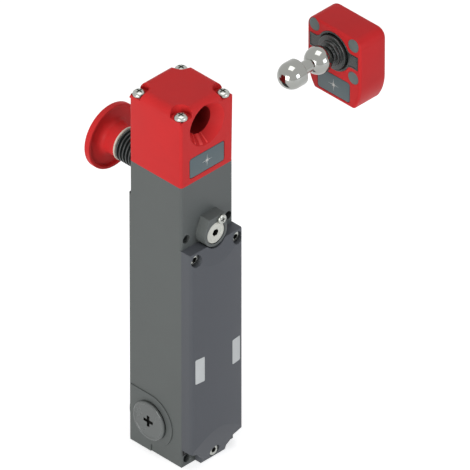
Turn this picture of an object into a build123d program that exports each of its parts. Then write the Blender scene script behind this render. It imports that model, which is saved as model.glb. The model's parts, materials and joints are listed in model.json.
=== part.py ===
from build123d import *
import math
import os

os.makedirs("parts", exist_ok=True)

# Safety interlock switch with a jointed locking pin on a separate actuator.
# Millimetres. The origin is the centre of the four fixing holes on the mounting face.
# +Z is up, -Y is the front, and the mounting face is the plane y = 0.

# Main sizes of the switch
width = 40.0
depth = 40.0
body_height = 187.5
head_height = 48.5
corner_radius = 1.7
mount_pad = 1.2
mount_pad_drop = 22.2

# Fixing holes, for M5 screws
fixing_pitch_x = 32.0
fixing_pitch_z = 147.5
fixing_edge = 4.7
fixing_radius = 2.65

# Clearances
moving_gap = 0.3
running_gap = 0.05
fit_gap = 0.05

# Levels that follow from the sizes above
base_z = -fixing_pitch_z / 2 - fixing_edge
seam_z = base_z + body_height
top_z = seam_z + head_height
rear_y = -mount_pad
face_y = rear_y - depth
mid_y = rear_y - depth / 2

# Head: corner screws, entry hole and grey plate
head_screw_offset = 16.7
head_pocket_radius = 5.5
head_pocket_depth = 5.0
pan_radius = 3.85
pan_height = 2.8
pan_shank_radius = 2.0
entry_z = seam_z + 33.4
entry_mouth_radius = 13.2
entry_radius = 8.5
entry_cone_depth = 6.0
entry_depth = 34.0
plate_width = 26.0
plate_height = 13.0
plate_bottom_z = seam_z + 3.4
plate_depth = 0.9
plate_radius = 1.3

# Cover
cover_drop = 41.5
cover_top_z = seam_z - cover_drop
cover_side_y = face_y - 7.8
cover_mid_y = face_y - 9.4
cover_edge_radius = 2.4
cover_wall = 2.6
cover_inner_y = face_y - 5.4
cover_screw_x = 15.8
cover_screw_z = seam_z - 46.3
cover_screw_seat_y = face_y - 4.0
cover_screw_head_radius = 3.4
cover_screw_head_height = 2.0
cover_screw_shank_radius = 2.0
cover_recess_radius = 3.7

# Status windows in the cover
window_width = 6.6
window_height = 16.4
window_x = 14.0
window_z = seam_z - 120.4

# Release device on the front
release_z = seam_z - 35.5
boss_radius = 8.3
boss_front_y = face_y - 7.0
release_disc_radius = 6.6
release_shaft_radius = 3.0
seal_x = 5.3
seal_z = release_z + 6.0

# Conduit entries, M20
entry_conduit_radius = 9.2
conduit_y = rear_y - 16.6
conduit_z = base_z + 21.1
side_pad = 0.6
side_pad_radius = 16.5
plug_head_radius = 12.0
plug_head_thickness = 1.6
seal_ring_thickness = 0.7

# Hollow spaces of the body
wall = 3.0
cavity_floor_z = base_z + 9.5
cavity_top_z = seam_z - 52.0
chamber_half_width = 9.0
chamber_front_y = -33.0
chamber_rear_y = -8.0
chamber_floor_z = seam_z - 48.0

# Locking bolt, below the neck of an inserted pin
bolt_y = -23.8
bolt_width = 12.0
bolt_thickness = 4.4
bolt_rod_radius = 2.5
bolt_bottom_z = seam_z - 20.0
bolt_top_z = entry_z - entry_radius - 0.5
plunger_radius = 4.0
plunger_top_z = seam_z - 62.0
plunger_bottom_z = seam_z - 90.0
yoke_plate = 2.5
yoke_width = 26.0
yoke_height = 45.0
yoke_depth = 20.0

# Escape button at the rear
escape_z = seam_z - 10.2
escape_rod_radius = 4.0
escape_rod_end_y = -10.0
bellows_radius = 11.35
bellows_ribs = 5
bellows_length = 23.0
ring_thickness = 1.0
hub_radius = 11.2
button_radius = 20.0
button_rim_y = rear_y + 32.0
button_rim_thickness = 3.8
button_crown = 3.6

# Actuator: its face looks to -X, its pin is level with the entry hole
act_x = 98.6
act_y = -40.7
act_z = entry_z
act_width = 41.0
act_above = 15.0
act_below = 31.5
act_depth = 20.5
act_back_plate = 3.5
act_cut_width = 5.5
act_cut_height = 9.7
act_pitch_y = 30.0
act_pitch_z = 21.6
cap_radius = 3.6
cap_depth = 2.4
band_height = 8.9
band_radius = 12.25
band_depth = 1.5
band_proud = 0.3

# Jointed pin, measured forward from the actuator's face
pivot_depth = 7.5
pivot_radius = 6.0
socket_gap = 0.1
socket_mouth_radius = 5.2
collar_radius = 10.0
collar_well_radius = 11.0
collar_well_depth = 2.5
collar_back = 1.2
stem_radius = 3.6
stem_end = -0.9
ball_radius = 8.0
ball_at = 12.0
neck_radius = 5.0
tip_start = 24.4
tip_round_at = 32.9
blade_thickness = 3.0
blade_half_height = 3.2
cross_pin_radius = 1.5


def front_plane(y):
    """Plane at one depth whose sketches face the front: local x is X, local y is Z."""
    return Plane.XZ.offset(-y)


def bar_y(radius, x, z, y_rear, y_front, mode=Mode.ADD):
    """Round bar or hole along Y."""
    with BuildSketch(front_plane(y_rear)) as ring:
        with Locations((x, z)):
            Circle(radius)
    extrude(ring.sketch, amount=y_rear - y_front, mode=mode)


def bar_z(radius, x, y, z_low, z_high, mode=Mode.ADD):
    """Round bar or hole along Z."""
    with BuildSketch(Plane.XY.offset(z_low)) as ring:
        with Locations((x, y)):
            Circle(radius)
    extrude(ring.sketch, amount=z_high - z_low, mode=mode)


def bar_x(radius, y, z, x_low, x_high, mode=Mode.ADD):
    """Round bar or hole along X."""
    with BuildSketch(Plane.YZ.offset(x_low)) as ring:
        with Locations((y, z)):
            Circle(radius)
    extrude(ring.sketch, amount=x_high - x_low, mode=mode)


def block(x_low, x_high, y_low, y_high, z_low, z_high, mode=Mode.ADD):
    """Rectangular block between two corners."""
    with BuildSketch(Plane.XY.offset(z_low)) as base:
        with Locations(((x_low + x_high) / 2, (y_low + y_high) / 2)):
            Rectangle(x_high - x_low, y_high - y_low)
    extrude(base.sketch, amount=z_high - z_low, mode=mode)


def column(y_low, y_high, z_low, z_high):
    """Upright block of the full width with rounded vertical edges."""
    with BuildSketch(Plane.XY.offset(z_low)) as plan:
        with Locations((0, (y_low + y_high) / 2)):
            RectangleRounded(width, y_high - y_low, corner_radius)
    extrude(plan.sketch, amount=z_high - z_low)


def cross_cut(plane, size, arm, cut_depth):
    """Cross recess for a screwdriver, cut against the plane's normal."""
    with BuildSketch(plane) as cross:
        Rectangle(size, arm)
        Rectangle(arm, size)
    extrude(cross.sketch, amount=-cut_depth, mode=Mode.SUBTRACT)


def cover_block():
    """Solid outer shape of the cover: curved front, ends that fall back."""
    with BuildSketch(Plane.XY.offset(base_z)) as plan:
        with BuildLine():
            Polyline((-width / 2, cover_side_y), (-width / 2, face_y), (width / 2, face_y), (width / 2, cover_side_y))
            ThreePointArc((width / 2, cover_side_y), (0, cover_mid_y), (-width / 2, cover_side_y))
        make_face()
        fillet(plan.vertices().group_by(Axis.Y)[0], cover_edge_radius)
    extrude(plan.sketch, amount=cover_top_z - base_z)
    with BuildSketch(Plane.YZ.offset(-width / 2)) as side:
        with BuildLine():
            Line((face_y, base_z), (face_y, cover_top_z))
            Line((face_y, cover_top_z), (face_y - 7.0, cover_top_z))
            ThreePointArc((face_y - 7.0, cover_top_z), (face_y - 9.0, cover_top_z - 10), (face_y - 10, cover_top_z - 28))
            Line((face_y - 10, cover_top_z - 28), (face_y - 10, base_z + 30))
            ThreePointArc((face_y - 10, base_z + 30), (face_y - 7.2, base_z + 10), (face_y - 4.3, base_z))
            Line((face_y - 4.3, base_z), (face_y, base_z))
        make_face()
    extrude(side.sketch, amount=width, mode=Mode.INTERSECT)


def corner_notch(sign):
    """Notch that leaves a lower fixing hole free at the front."""
    hole_z = -fixing_pitch_z / 2
    with BuildSketch(front_plane(face_y)) as notch:
        with BuildLine():
            Polyline(
                (sign * 9.3, base_z - 1),
                (sign * 9.3, base_z + 3.6),
                (sign * 11.2, base_z + 5.6),
                (sign * 13.0, hole_z + 4.6),
                (sign * 18.2, hole_z + 6.6),
                (sign * 21.0, hole_z + 8.0),
                (sign * 21.0, base_z - 1),
                close=True,
            )
        make_face()
    extrude(notch.sketch, amount=12, mode=Mode.SUBTRACT)


def pin_plane():
    """Plane through the pin: local x runs forward from the actuator's face, local y is up."""
    return Plane(origin=(act_x, act_y, act_z), x_dir=(-1, 0, 0), z_dir=(0, 1, 0))


def at_act(forward, side, up):
    """Point given forward, sideways and up from the pin's axis on the actuator's face."""
    return (act_x - forward, act_y + side, act_z + up)


# Body housing
with BuildPart() as housing:
    column(face_y, rear_y, base_z, seam_z)
    column(face_y, 0, base_z, seam_z - mount_pad_drop)
    # square front corners where the cover sits
    block(-width / 2, width / 2, face_y, face_y + 4, base_z, cover_top_z)
    # raised pads round the side entries
    for side in (-1, 1):
        with BuildSketch(Plane.YZ.offset(side * width / 2)) as pad:
            with Locations((conduit_y, conduit_z)):
                Circle(side_pad_radius)
            with Locations(((conduit_y - corner_radius) / 2, base_z + (conduit_z + side_pad_radius - base_z) / 2)):
                Rectangle(-conduit_y - corner_radius, conduit_z + side_pad_radius - base_z)
        extrude(amount=side * side_pad)
    # boss of the release device, with an ear for the sealing screw
    with BuildSketch(front_plane(face_y)):
        with Locations((0, release_z)):
            Circle(boss_radius)
    extrude(amount=face_y - boss_front_y)
    boss_rings = housing.edges().filter_by(GeomType.CIRCLE).filter_by(lambda e: abs(e.radius - boss_radius) < 0.01)
    fillet(boss_rings.sort_by(Axis.Y)[-1], 0.8)
    bar_y(3.0, seal_x, seal_z, face_y, boss_front_y)
    # hollow for the wiring, open to the front
    block(-width / 2 + wall, width / 2 - wall, face_y - 1, rear_y - wall, cavity_floor_z, cavity_top_z, Mode.SUBTRACT)
    # ribs that carry the circuit board
    for side in (-1, 1):
        block(side * 13.5 - 1.5, side * 13.5 + 1.5, rear_y - wall - 2, rear_y - wall, -40, 50)
    # chamber of the locking bolt, closed by the head
    block(-chamber_half_width, chamber_half_width, chamber_front_y, chamber_rear_y, chamber_floor_z, seam_z, Mode.SUBTRACT)
    bar_z(bolt_rod_radius + moving_gap, 0, bolt_y, cavity_top_z, chamber_floor_z, Mode.SUBTRACT)
    # groove of the head gasket
    with BuildSketch(Plane.XY.offset(seam_z)):
        with Locations((0, mid_y)):
            RectangleRounded(27, 31, 3)
            RectangleRounded(23, 27, 2, mode=Mode.SUBTRACT)
    extrude(amount=-1.0, mode=Mode.SUBTRACT)
    # groove of the cover gasket
    with BuildSketch(front_plane(face_y)):
        with Locations((0, (cavity_floor_z + cavity_top_z) / 2)):
            Rectangle(width - 1.8, cavity_top_z - cavity_floor_z + 4.2)
            Rectangle(width - 4.2, cavity_top_z - cavity_floor_z + 1.8, mode=Mode.SUBTRACT)
    extrude(amount=-1.2, mode=Mode.SUBTRACT)
    # fixing holes
    for x in (-fixing_pitch_x / 2, fixing_pitch_x / 2):
        for z in (-fixing_pitch_z / 2, fixing_pitch_z / 2):
            bar_y(fixing_radius, x, z, 0, face_y, Mode.SUBTRACT)
    # screw holes of the head
    for x in (-head_screw_offset, head_screw_offset):
        for y in (-head_screw_offset, head_screw_offset):
            bar_z(pan_shank_radius + fit_gap, x, mid_y + y, seam_z - 14, seam_z, Mode.SUBTRACT)
    # screw holes of the cover
    for x, z in ((-cover_screw_x, cover_screw_z), (cover_screw_x, cover_screw_z), (0, base_z + fixing_edge)):
        bar_y(cover_screw_shank_radius + fit_gap, x, z, face_y + 9, face_y, Mode.SUBTRACT)
    # release disc and its shaft
    bar_y(release_disc_radius + moving_gap, 0, release_z, boss_front_y + 4.2, boss_front_y, Mode.SUBTRACT)
    bar_y(release_shaft_radius + running_gap, 0, release_z, chamber_front_y, boss_front_y, Mode.SUBTRACT)
    bar_y(1.25 + fit_gap, seal_x, seal_z, boss_front_y + 8, boss_front_y, Mode.SUBTRACT)
    # escape rod
    bar_y(escape_rod_radius + running_gap, 0, escape_z, rear_y, chamber_rear_y, Mode.SUBTRACT)
    # conduit entries
    bar_x(entry_conduit_radius, conduit_y, conduit_z, -width / 2 - side_pad, width / 2 + side_pad, Mode.SUBTRACT)
    bar_z(entry_conduit_radius, 0, conduit_y, base_z, cavity_floor_z, Mode.SUBTRACT)
housing.part.label = "housing"
export_step(housing.part, "parts/housing.step")

# Head with funnel entry
with BuildPart() as head:
    column(face_y, rear_y, seam_z, top_z)
    fillet(head.faces().sort_by(Axis.Z)[-1].edges(), 0.5)
    for x in (-head_screw_offset, head_screw_offset):
        for y in (-head_screw_offset, head_screw_offset):
            bar_z(head_pocket_radius, x, mid_y + y, top_z - head_pocket_depth, top_z, Mode.SUBTRACT)
            bar_z(pan_shank_radius + fit_gap, x, mid_y + y, seam_z, top_z, Mode.SUBTRACT)
    # entry: cone, bore and rounded end, turned about the pin's line
    with BuildSketch(Plane(origin=(0, face_y, entry_z), x_dir=(0, 1, 0), z_dir=(1, 0, 0))):
        with BuildLine():
            Polyline(
                (entry_depth - 4, 0),
                (-1, 0),
                (-1, entry_mouth_radius + 0.8),
                (entry_cone_depth, entry_radius),
                (entry_depth - 4, entry_radius),
                close=True,
            )
        make_face()
    revolve(axis=Axis((0, face_y, entry_z), (0, 1, 0)), mode=Mode.SUBTRACT)
    with Locations((0, face_y + entry_depth - 4, entry_z)):
        Sphere(entry_radius, mode=Mode.SUBTRACT)
    # slot of the locking bolt
    slot_x = bolt_width / 2 + moving_gap
    slot_y = bolt_thickness / 2 + moving_gap
    block(-slot_x, slot_x, bolt_y - slot_y, bolt_y + slot_y, seam_z, entry_z, Mode.SUBTRACT)
    # seat of the plate, and room for the reader behind it
    with BuildSketch(front_plane(face_y)):
        with Locations((0, plate_bottom_z + plate_height / 2)):
            RectangleRounded(plate_width, plate_height, plate_radius)
    extrude(amount=-plate_depth, mode=Mode.SUBTRACT)
    block(-11.5, 11.5, face_y + 3, face_y + 6.5, seam_z, seam_z + 14, Mode.SUBTRACT)
head.part.label = "head"
export_step(head.part, "parts/head.step")

# Gasket between head and body
with BuildPart() as head_gasket:
    with BuildSketch(Plane.XY.offset(seam_z)):
        with Locations((0, mid_y)):
            RectangleRounded(27, 31, 3)
            RectangleRounded(23, 27, 2, mode=Mode.SUBTRACT)
    extrude(amount=-1.0)
head_gasket.part.label = "head_gasket"
export_step(head_gasket.part, "parts/head_gasket.step")

# Four pan head screws of the head
with BuildPart() as head_screws:
    seat_z = top_z - head_pocket_depth
    for x in (-head_screw_offset, head_screw_offset):
        for y in (-head_screw_offset, head_screw_offset):
            with BuildSketch(Plane.XZ.offset(-mid_y - y)):
                with BuildLine():
                    Polyline(
                        (x, seat_z - 56),
                        (x + pan_shank_radius, seat_z - 56),
                        (x + pan_shank_radius, seat_z),
                        (x + pan_radius, seat_z),
                        (x + pan_radius, seat_z + 1.2),
                    )
                    ThreePointArc(
                        (x + pan_radius, seat_z + 1.2),
                        (x + pan_radius - 0.75, seat_z + 2.3),
                        (x + pan_radius - 2.4, seat_z + pan_height),
                    )
                    Polyline((x + pan_radius - 2.4, seat_z + pan_height), (x, seat_z + pan_height), (x, seat_z - 56))
                make_face()
            revolve(axis=Axis((x, mid_y + y, 0), (0, 0, 1)))
            cross_cut(Plane.XY.offset(seat_z + pan_height).move(Location((x, mid_y + y, 0))), 4.4, 0.9, 1.5)
head_screws.part.label = "head_screws"
export_step(head_screws.part, "parts/head_screws.step")

# Grey plate on the head's front
with BuildPart() as head_plate:
    with BuildSketch(front_plane(face_y + plate_depth)):
        with Locations((0, plate_bottom_z + plate_height / 2)):
            RectangleRounded(plate_width - 0.5, plate_height - 0.5, plate_radius - 0.2)
    extrude(amount=plate_depth + 0.1)
head_plate.part.label = "head_plate"
export_step(head_plate.part, "parts/head_plate.step")

# Reader for the coded actuator, behind the plate
with BuildPart() as reader_board:
    block(-11, 11, face_y + 4, face_y + 5.6, seam_z, seam_z + 12)
    bar_y(4.2, 0, seam_z + 6.5, face_y + 4, face_y + 3)
reader_board.part.label = "reader_board"
export_step(reader_board.part, "parts/reader_board.step")

# Cover
with BuildPart() as cover:
    cover_block()
    block(-width / 2 + cover_wall, width / 2 - cover_wall, cover_inner_y, face_y, base_z + 11.5, cover_top_z - 10.5, Mode.SUBTRACT)
    # cut-out round the release boss
    bar_y(boss_radius + 0.9, 0, release_z, face_y, face_y - 12, Mode.SUBTRACT)
    corner_notch(-1)
    corner_notch(1)
    # screw holes, recessed at the front
    for x, z in ((-cover_screw_x, cover_screw_z), (cover_screw_x, cover_screw_z), (0, base_z + fixing_edge)):
        bar_y(cover_screw_shank_radius + fit_gap, x, z, face_y, face_y - 12, Mode.SUBTRACT)
        seat_y = cover_screw_seat_y if x else face_y - 3.0
        bar_y(cover_recess_radius, x, z, seat_y, face_y - 12, Mode.SUBTRACT)
    # openings of the status windows
    for x in (-window_x, window_x):
        with BuildSketch(front_plane(face_y)) as opening:
            with Locations((x, window_z)):
                RectangleRounded(window_width, window_height, 0.8)
        extrude(opening.sketch, amount=12, mode=Mode.SUBTRACT)
cover.part.label = "cover"
export_step(cover.part, "parts/cover.step")

# Gasket between cover and body
with BuildPart() as cover_gasket:
    with BuildSketch(front_plane(face_y)):
        with Locations((0, (cavity_floor_z + cavity_top_z) / 2)):
            Rectangle(width - 1.8, cavity_top_z - cavity_floor_z + 4.2)
            Rectangle(width - 4.2, cavity_top_z - cavity_floor_z + 1.8, mode=Mode.SUBTRACT)
    extrude(amount=-1.2)
cover_gasket.part.label = "cover_gasket"
export_step(cover_gasket.part, "parts/cover_gasket.step")

# Three socket screws of the cover
with BuildPart() as cover_screws:
    for x, z in ((-cover_screw_x, cover_screw_z), (cover_screw_x, cover_screw_z), (0, base_z + fixing_edge)):
        seat_y = cover_screw_seat_y if x else face_y - 3.0
        front_y = seat_y - cover_screw_head_height
        bar_y(cover_screw_shank_radius, x, z, face_y + 8, seat_y)
        bar_y(cover_screw_head_radius, x, z, seat_y, front_y)
        with BuildSketch(front_plane(front_y)) as socket:
            with Locations((x, z)):
                RegularPolygon(1.6, 6)
        extrude(socket.sketch, amount=-1.3, mode=Mode.SUBTRACT)
    chamfer(cover_screws.edges().filter_by(lambda e: e.geom_type == GeomType.CIRCLE and abs(e.radius - 3.4) < 0.01), 0.3)
cover_screws.part.label = "cover_screws"
export_step(cover_screws.part, "parts/cover_screws.step")

# Status windows, flush with the curved cover
with BuildPart() as led_window_left:
    cover_block()
    with BuildSketch(front_plane(cover_inner_y)):
        with Locations((-window_x, window_z)):
            RectangleRounded(window_width - 2 * fit_gap, window_height - 2 * fit_gap, 0.75)
    extrude(amount=12, mode=Mode.INTERSECT)
led_window_left.part.label = "led_window_left"
export_step(led_window_left.part, "parts/led_window_left.step")

with BuildPart() as led_window_right:
    cover_block()
    with BuildSketch(front_plane(cover_inner_y)):
        with Locations((window_x, window_z)):
            RectangleRounded(window_width - 2 * fit_gap, window_height - 2 * fit_gap, 0.75)
    extrude(amount=12, mode=Mode.INTERSECT)
led_window_right.part.label = "led_window_right"
export_step(led_window_right.part, "parts/led_window_right.step")

# Sealing screw, its head overlaps the release disc
with BuildPart() as sealing_screw:
    bar_y(1.25, seal_x, seal_z, boss_front_y + 7, boss_front_y)
    bar_y(2.7, seal_x, seal_z, boss_front_y, boss_front_y - 1.8)
    fillet(sealing_screw.edges().sort_by(Axis.Y)[0], 0.8)
    with BuildSketch(front_plane(boss_front_y - 1.8)):
        with Locations((seal_x, seal_z)):
            Rectangle(0.7, 6)
    extrude(amount=-0.7, mode=Mode.SUBTRACT)
sealing_screw.part.label = "sealing_screw"
export_step(sealing_screw.part, "parts/sealing_screw.step")


def conduit_plug(side):
    """Blanking plug on one side of the body: rounded head, shank and cross recess."""
    inner_x = width / 2 + side_pad + seal_ring_thickness
    with BuildSketch(Plane(origin=(0, conduit_y, conduit_z), x_dir=(side, 0, 0), z_dir=(0, side, 0))) as half:
        with BuildLine():
            Polyline(
                (13.5, 0),
                (13.5, entry_conduit_radius - fit_gap),
                (inner_x, entry_conduit_radius - fit_gap),
                (inner_x, plug_head_radius),
                (inner_x + plug_head_thickness - 1.0, plug_head_radius),
            )
            ThreePointArc(
                (inner_x + plug_head_thickness - 1.0, plug_head_radius),
                (inner_x + plug_head_thickness - 0.3, plug_head_radius - 0.3),
                (inner_x + plug_head_thickness, plug_head_radius - 1.0),
            )
            Polyline(
                (inner_x + plug_head_thickness, plug_head_radius - 1.0),
                (inner_x + plug_head_thickness, 0),
                (13.5, 0),
            )
        make_face()
    revolve(half.sketch, axis=Axis((0, conduit_y, conduit_z), (1, 0, 0)))
    outer = Plane(origin=(side * (inner_x + plug_head_thickness), conduit_y, conduit_z), z_dir=(side, 0, 0))
    cross_cut(outer.rotated((0, 0, 0)), 7.0, 1.9, 1.5)


# Blanking plugs
with BuildPart() as plug_left:
    conduit_plug(-1)
plug_left.part.label = "plug_left"
export_step(plug_left.part, "parts/plug_left.step")

with BuildPart() as plug_right:
    conduit_plug(1)
plug_right.part.label = "plug_right"
export_step(plug_right.part, "parts/plug_right.step")

# Seal rings under the plugs
with BuildPart() as plug_seals:
    for x_low in (-width / 2 - side_pad - seal_ring_thickness, width / 2 + side_pad):
        bar_x(plug_head_radius - 0.6, conduit_y, conduit_z, x_low, x_low + seal_ring_thickness)
        bar_x(entry_conduit_radius + fit_gap, conduit_y, conduit_z, x_low, x_low + seal_ring_thickness, Mode.SUBTRACT)
plug_seals.part.label = "plug_seals"
export_step(plug_seals.part, "parts/plug_seals.step")

# Circuit board, its parts and the terminals
board_rear_y = rear_y - wall - 2
board_front_y = board_rear_y - 1.6
with BuildPart() as circuit_board:
    block(-16, 16, board_front_y, board_rear_y, -44, 52)
circuit_board.part.label = "circuit_board"
export_step(circuit_board.part, "parts/circuit_board.step")

with BuildPart() as board_parts:
    for x, z, w, h, d in ((-9, 1, 10, 7, 6), (4, 1, 12, 7, 8), (-6, -11, 16, 10, 5), (10, -11, 7, 7, 4)):
        block(x - w / 2, x + w / 2, board_front_y - d, board_front_y, z - h / 2, z + h / 2)
board_parts.part.label = "board_parts"
export_step(board_parts.part, "parts/board_parts.step")

terminal_front_y = board_front_y - 13
with BuildPart() as terminal_block:
    block(-15, 15, terminal_front_y, board_front_y, -40, -20)
    for i in range(6):
        x = -12.5 + 5 * i
        bar_y(1.9, x, -26, terminal_front_y + 2, terminal_front_y, Mode.SUBTRACT)
        block(x - 1.5, x + 1.5, terminal_front_y + 3, terminal_front_y + 7, -40, -32, Mode.SUBTRACT)
terminal_block.part.label = "terminal_block"
export_step(terminal_block.part, "parts/terminal_block.step")

with BuildPart() as terminal_screws:
    for i in range(6):
        x = -12.5 + 5 * i
        bar_y(1.8, x, -26, terminal_front_y + 2, terminal_front_y + 0.5)
        block(x - 0.3, x + 0.3, terminal_front_y, terminal_front_y + 1, -28, -24, Mode.SUBTRACT)
terminal_screws.part.label = "terminal_screws"
export_step(terminal_screws.part, "parts/terminal_screws.step")

# Solenoid that pulls the locking bolt down
with BuildPart() as solenoid_yoke:
    with BuildSketch(front_plane(bolt_y + yoke_depth / 2)):
        with Locations((0, cavity_top_z - yoke_height / 2)):
            Rectangle(yoke_width, yoke_height)
            Rectangle(yoke_width - 2 * yoke_plate, yoke_height - 2 * yoke_plate, mode=Mode.SUBTRACT)
    extrude(amount=yoke_depth)
    bar_z(bolt_rod_radius + moving_gap, 0, bolt_y, cavity_top_z - yoke_plate, cavity_top_z, Mode.SUBTRACT)
solenoid_yoke.part.label = "solenoid_yoke"
export_step(solenoid_yoke.part, "parts/solenoid_yoke.step")

with BuildPart() as solenoid_coil:
    coil_bottom_z = cavity_top_z - yoke_height + yoke_plate
    coil_top_z = cavity_top_z - yoke_plate
    bar_z(8.8, 0, bolt_y, coil_bottom_z, coil_top_z)
    bar_z(10.2, 0, bolt_y, coil_bottom_z, coil_bottom_z + 2)
    bar_z(10.2, 0, bolt_y, coil_top_z - 2, coil_top_z)
    bar_z(plunger_radius + moving_gap, 0, bolt_y, coil_bottom_z, coil_top_z, Mode.SUBTRACT)
solenoid_coil.part.label = "solenoid_coil"
export_step(solenoid_coil.part, "parts/solenoid_coil.step")

# Locking bolt, its plunger and its spring
with BuildPart() as lock_bolt:
    block(
        -bolt_width / 2,
        bolt_width / 2,
        bolt_y - bolt_thickness / 2,
        bolt_y + bolt_thickness / 2,
        bolt_bottom_z,
        bolt_top_z,
    )
    chamfer(lock_bolt.faces().sort_by(Axis.Z)[-1].edges().filter_by(Axis.X), 0.8)
lock_bolt.part.label = "lock_bolt"
export_step(lock_bolt.part, "parts/lock_bolt.step")

with BuildPart() as lock_plunger:
    bar_z(bolt_rod_radius, 0, bolt_y, plunger_top_z, bolt_bottom_z)
    bar_z(plunger_radius, 0, bolt_y, plunger_bottom_z, plunger_top_z)
    chamfer(lock_plunger.faces().sort_by(Axis.Z)[0].edges(), 0.6)
lock_plunger.part.label = "lock_plunger"
export_step(lock_plunger.part, "parts/lock_plunger.step")

spring_wire = 0.5
spring_low_z = chamber_floor_z + spring_wire + 0.1
spring_length = bolt_bottom_z - chamber_floor_z - 2 * spring_wire - 0.2
with BuildPart() as lock_spring:
    with BuildLine() as coil_path:
        Helix(pitch=spring_length / 6, height=spring_length, radius=3.6, center=(0, bolt_y, spring_low_z))
    with BuildSketch(Plane(origin=coil_path.line @ 0, z_dir=coil_path.line % 0)):
        RegularPolygon(spring_wire, 6)
    sweep(is_frenet=True)
lock_spring.part.label = "lock_spring"
export_step(lock_spring.part, "parts/lock_spring.step")

# Release disc and its shaft with a cam
with BuildPart() as release_disc:
    bar_y(release_disc_radius, 0, release_z, boss_front_y + 4.0, boss_front_y + 0.3)
    chamfer(release_disc.edges().sort_by(Axis.Y)[0], 0.4)
    with BuildSketch(front_plane(boss_front_y + 0.3)):
        with Locations((0, release_z)):
            RegularPolygon(2.1, 6)
    extrude(amount=-2.2, mode=Mode.SUBTRACT)
release_disc.part.label = "release_disc"
export_step(release_disc.part, "parts/release_disc.step")

cam_rear_y = chamber_front_y + 4.5
with BuildPart() as release_shaft:
    bar_y(release_shaft_radius, 0, release_z, cam_rear_y, boss_front_y + 4.0)
    with BuildSketch(front_plane(cam_rear_y)) as cam:
        with Locations((0, release_z)):
            Circle(4.2)
        with Locations((0, release_z - 4.5)):
            Circle(2.2)
        make_hull()
    extrude(amount=3.0)
release_shaft.part.label = "release_shaft"
export_step(release_shaft.part, "parts/release_shaft.step")

# Escape button with rod, ring and bellows
ring_y = rear_y + bellows_length
escape_plane = Plane(origin=(0, 0, escape_z), x_dir=(0, 1, 0), z_dir=(1, 0, 0))
escape_axis = Axis((0, 0, escape_z), (0, 1, 0))
rim_rear_y = button_rim_y + button_rim_thickness
dome_edge = button_radius - 0.8
dome_radius = (dome_edge**2 + button_crown**2) / (2 * button_crown)
dome_centre = rim_rear_y + button_crown - dome_radius
dome_half = math.asin(dome_edge / dome_radius) / 2
with BuildPart() as escape_button:
    with BuildSketch(escape_plane):
        with BuildLine():
            Polyline(
                (ring_y + ring_thickness, escape_rod_radius + fit_gap),
                (ring_y + ring_thickness, hub_radius),
                (button_rim_y - 1.0, hub_radius),
            )
            ThreePointArc(
                (button_rim_y - 1.0, hub_radius),
                (button_rim_y + 1.9, hub_radius + 3.4),
                (button_rim_y, button_radius - 1.2),
            )
            Polyline(
                (button_rim_y, button_radius - 1.2),
                (button_rim_y, button_radius - 0.4),
                (button_rim_y + 0.4, button_radius),
                (rim_rear_y - 0.8, button_radius),
                (rim_rear_y, dome_edge),
            )
            ThreePointArc(
                (rim_rear_y, dome_edge),
                (dome_centre + dome_radius * math.cos(dome_half), dome_radius * math.sin(dome_half)),
                (rim_rear_y + button_crown, 0),
            )
            Polyline(
                (rim_rear_y + button_crown, 0),
                (button_rim_y, 0),
                (button_rim_y, escape_rod_radius + fit_gap),
                (ring_y + ring_thickness, escape_rod_radius + fit_gap),
            )
        make_face()
    revolve(axis=escape_axis)
escape_button.part.label = "escape_button"
export_step(escape_button.part, "parts/escape_button.step")

with BuildPart() as escape_rod:
    bar_y(escape_rod_radius, 0, escape_z, button_rim_y, escape_rod_end_y)
    chamfer(escape_rod.faces().sort_by(Axis.Y)[0].edges(), 0.6)
escape_rod.part.label = "escape_rod"
export_step(escape_rod.part, "parts/escape_rod.step")

with BuildPart() as bellows_ring:
    bar_y(bellows_radius + 0.2, 0, escape_z, ring_y + ring_thickness, ring_y)
    bar_y(escape_rod_radius + fit_gap, 0, escape_z, ring_y + ring_thickness, ring_y, Mode.SUBTRACT)
bellows_ring.part.label = "bellows_ring"
export_step(bellows_ring.part, "parts/bellows_ring.step")

rib_pitch = bellows_length / bellows_ribs
outline = []
for i in range(bellows_ribs):
    start = rear_y + i * rib_pitch
    outline.append((start + 0.05 * rib_pitch, bellows_radius - 2.0))
    outline.append((start + 0.30 * rib_pitch, bellows_radius))
    outline.append((start + 0.70 * rib_pitch, bellows_radius))
    outline.append((start + 0.95 * rib_pitch, bellows_radius - 2.0))
with BuildPart() as escape_bellows:
    with BuildSketch(escape_plane):
        with BuildLine():
            Polyline((rear_y, 8.0), (rear_y, bellows_radius - 2.0), *outline, (ring_y, bellows_radius - 2.0), (ring_y, 8.0), close=True)
        make_face()
    revolve(axis=escape_axis)
escape_bellows.part.label = "escape_bellows"
export_step(escape_bellows.part, "parts/escape_bellows.step")


def actuator_outline(inset):
    """Front view of the actuator: rectangle with slanted lower corners, local x is Y."""
    half = act_width / 2 - inset
    low = -act_below + inset
    with BuildLine() as edge:
        Polyline(
            (act_y - half, act_z + act_above - inset),
            (act_y - half, act_z + low + act_cut_height),
            (act_y - half + act_cut_width, act_z + low),
            (act_y + half - act_cut_width, act_z + low),
            (act_y + half, act_z + low + act_cut_height),
            (act_y + half, act_z + act_above - inset),
            close=True,
        )
    make_face(edge.edges())


def act_sketch_plane(back):
    """Plane some way behind the actuator's face: local x is Y, local y is Z."""
    return Plane.YZ.offset(act_x + back)


def band_outline(gap):
    """Front view of the black band: a strip with a round bulge."""
    with Locations((act_y, act_z)):
        Rectangle(act_width, band_height - 2 * gap)
        Circle(band_radius - gap)


act_holes = [
    (act_y + side * act_pitch_y / 2, act_z + up * act_pitch_z / 2) for side in (-1, 1) for up in (-1, 1)
]
shell_depth = act_depth - act_back_plate
pivot_x = act_x + pivot_depth

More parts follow.
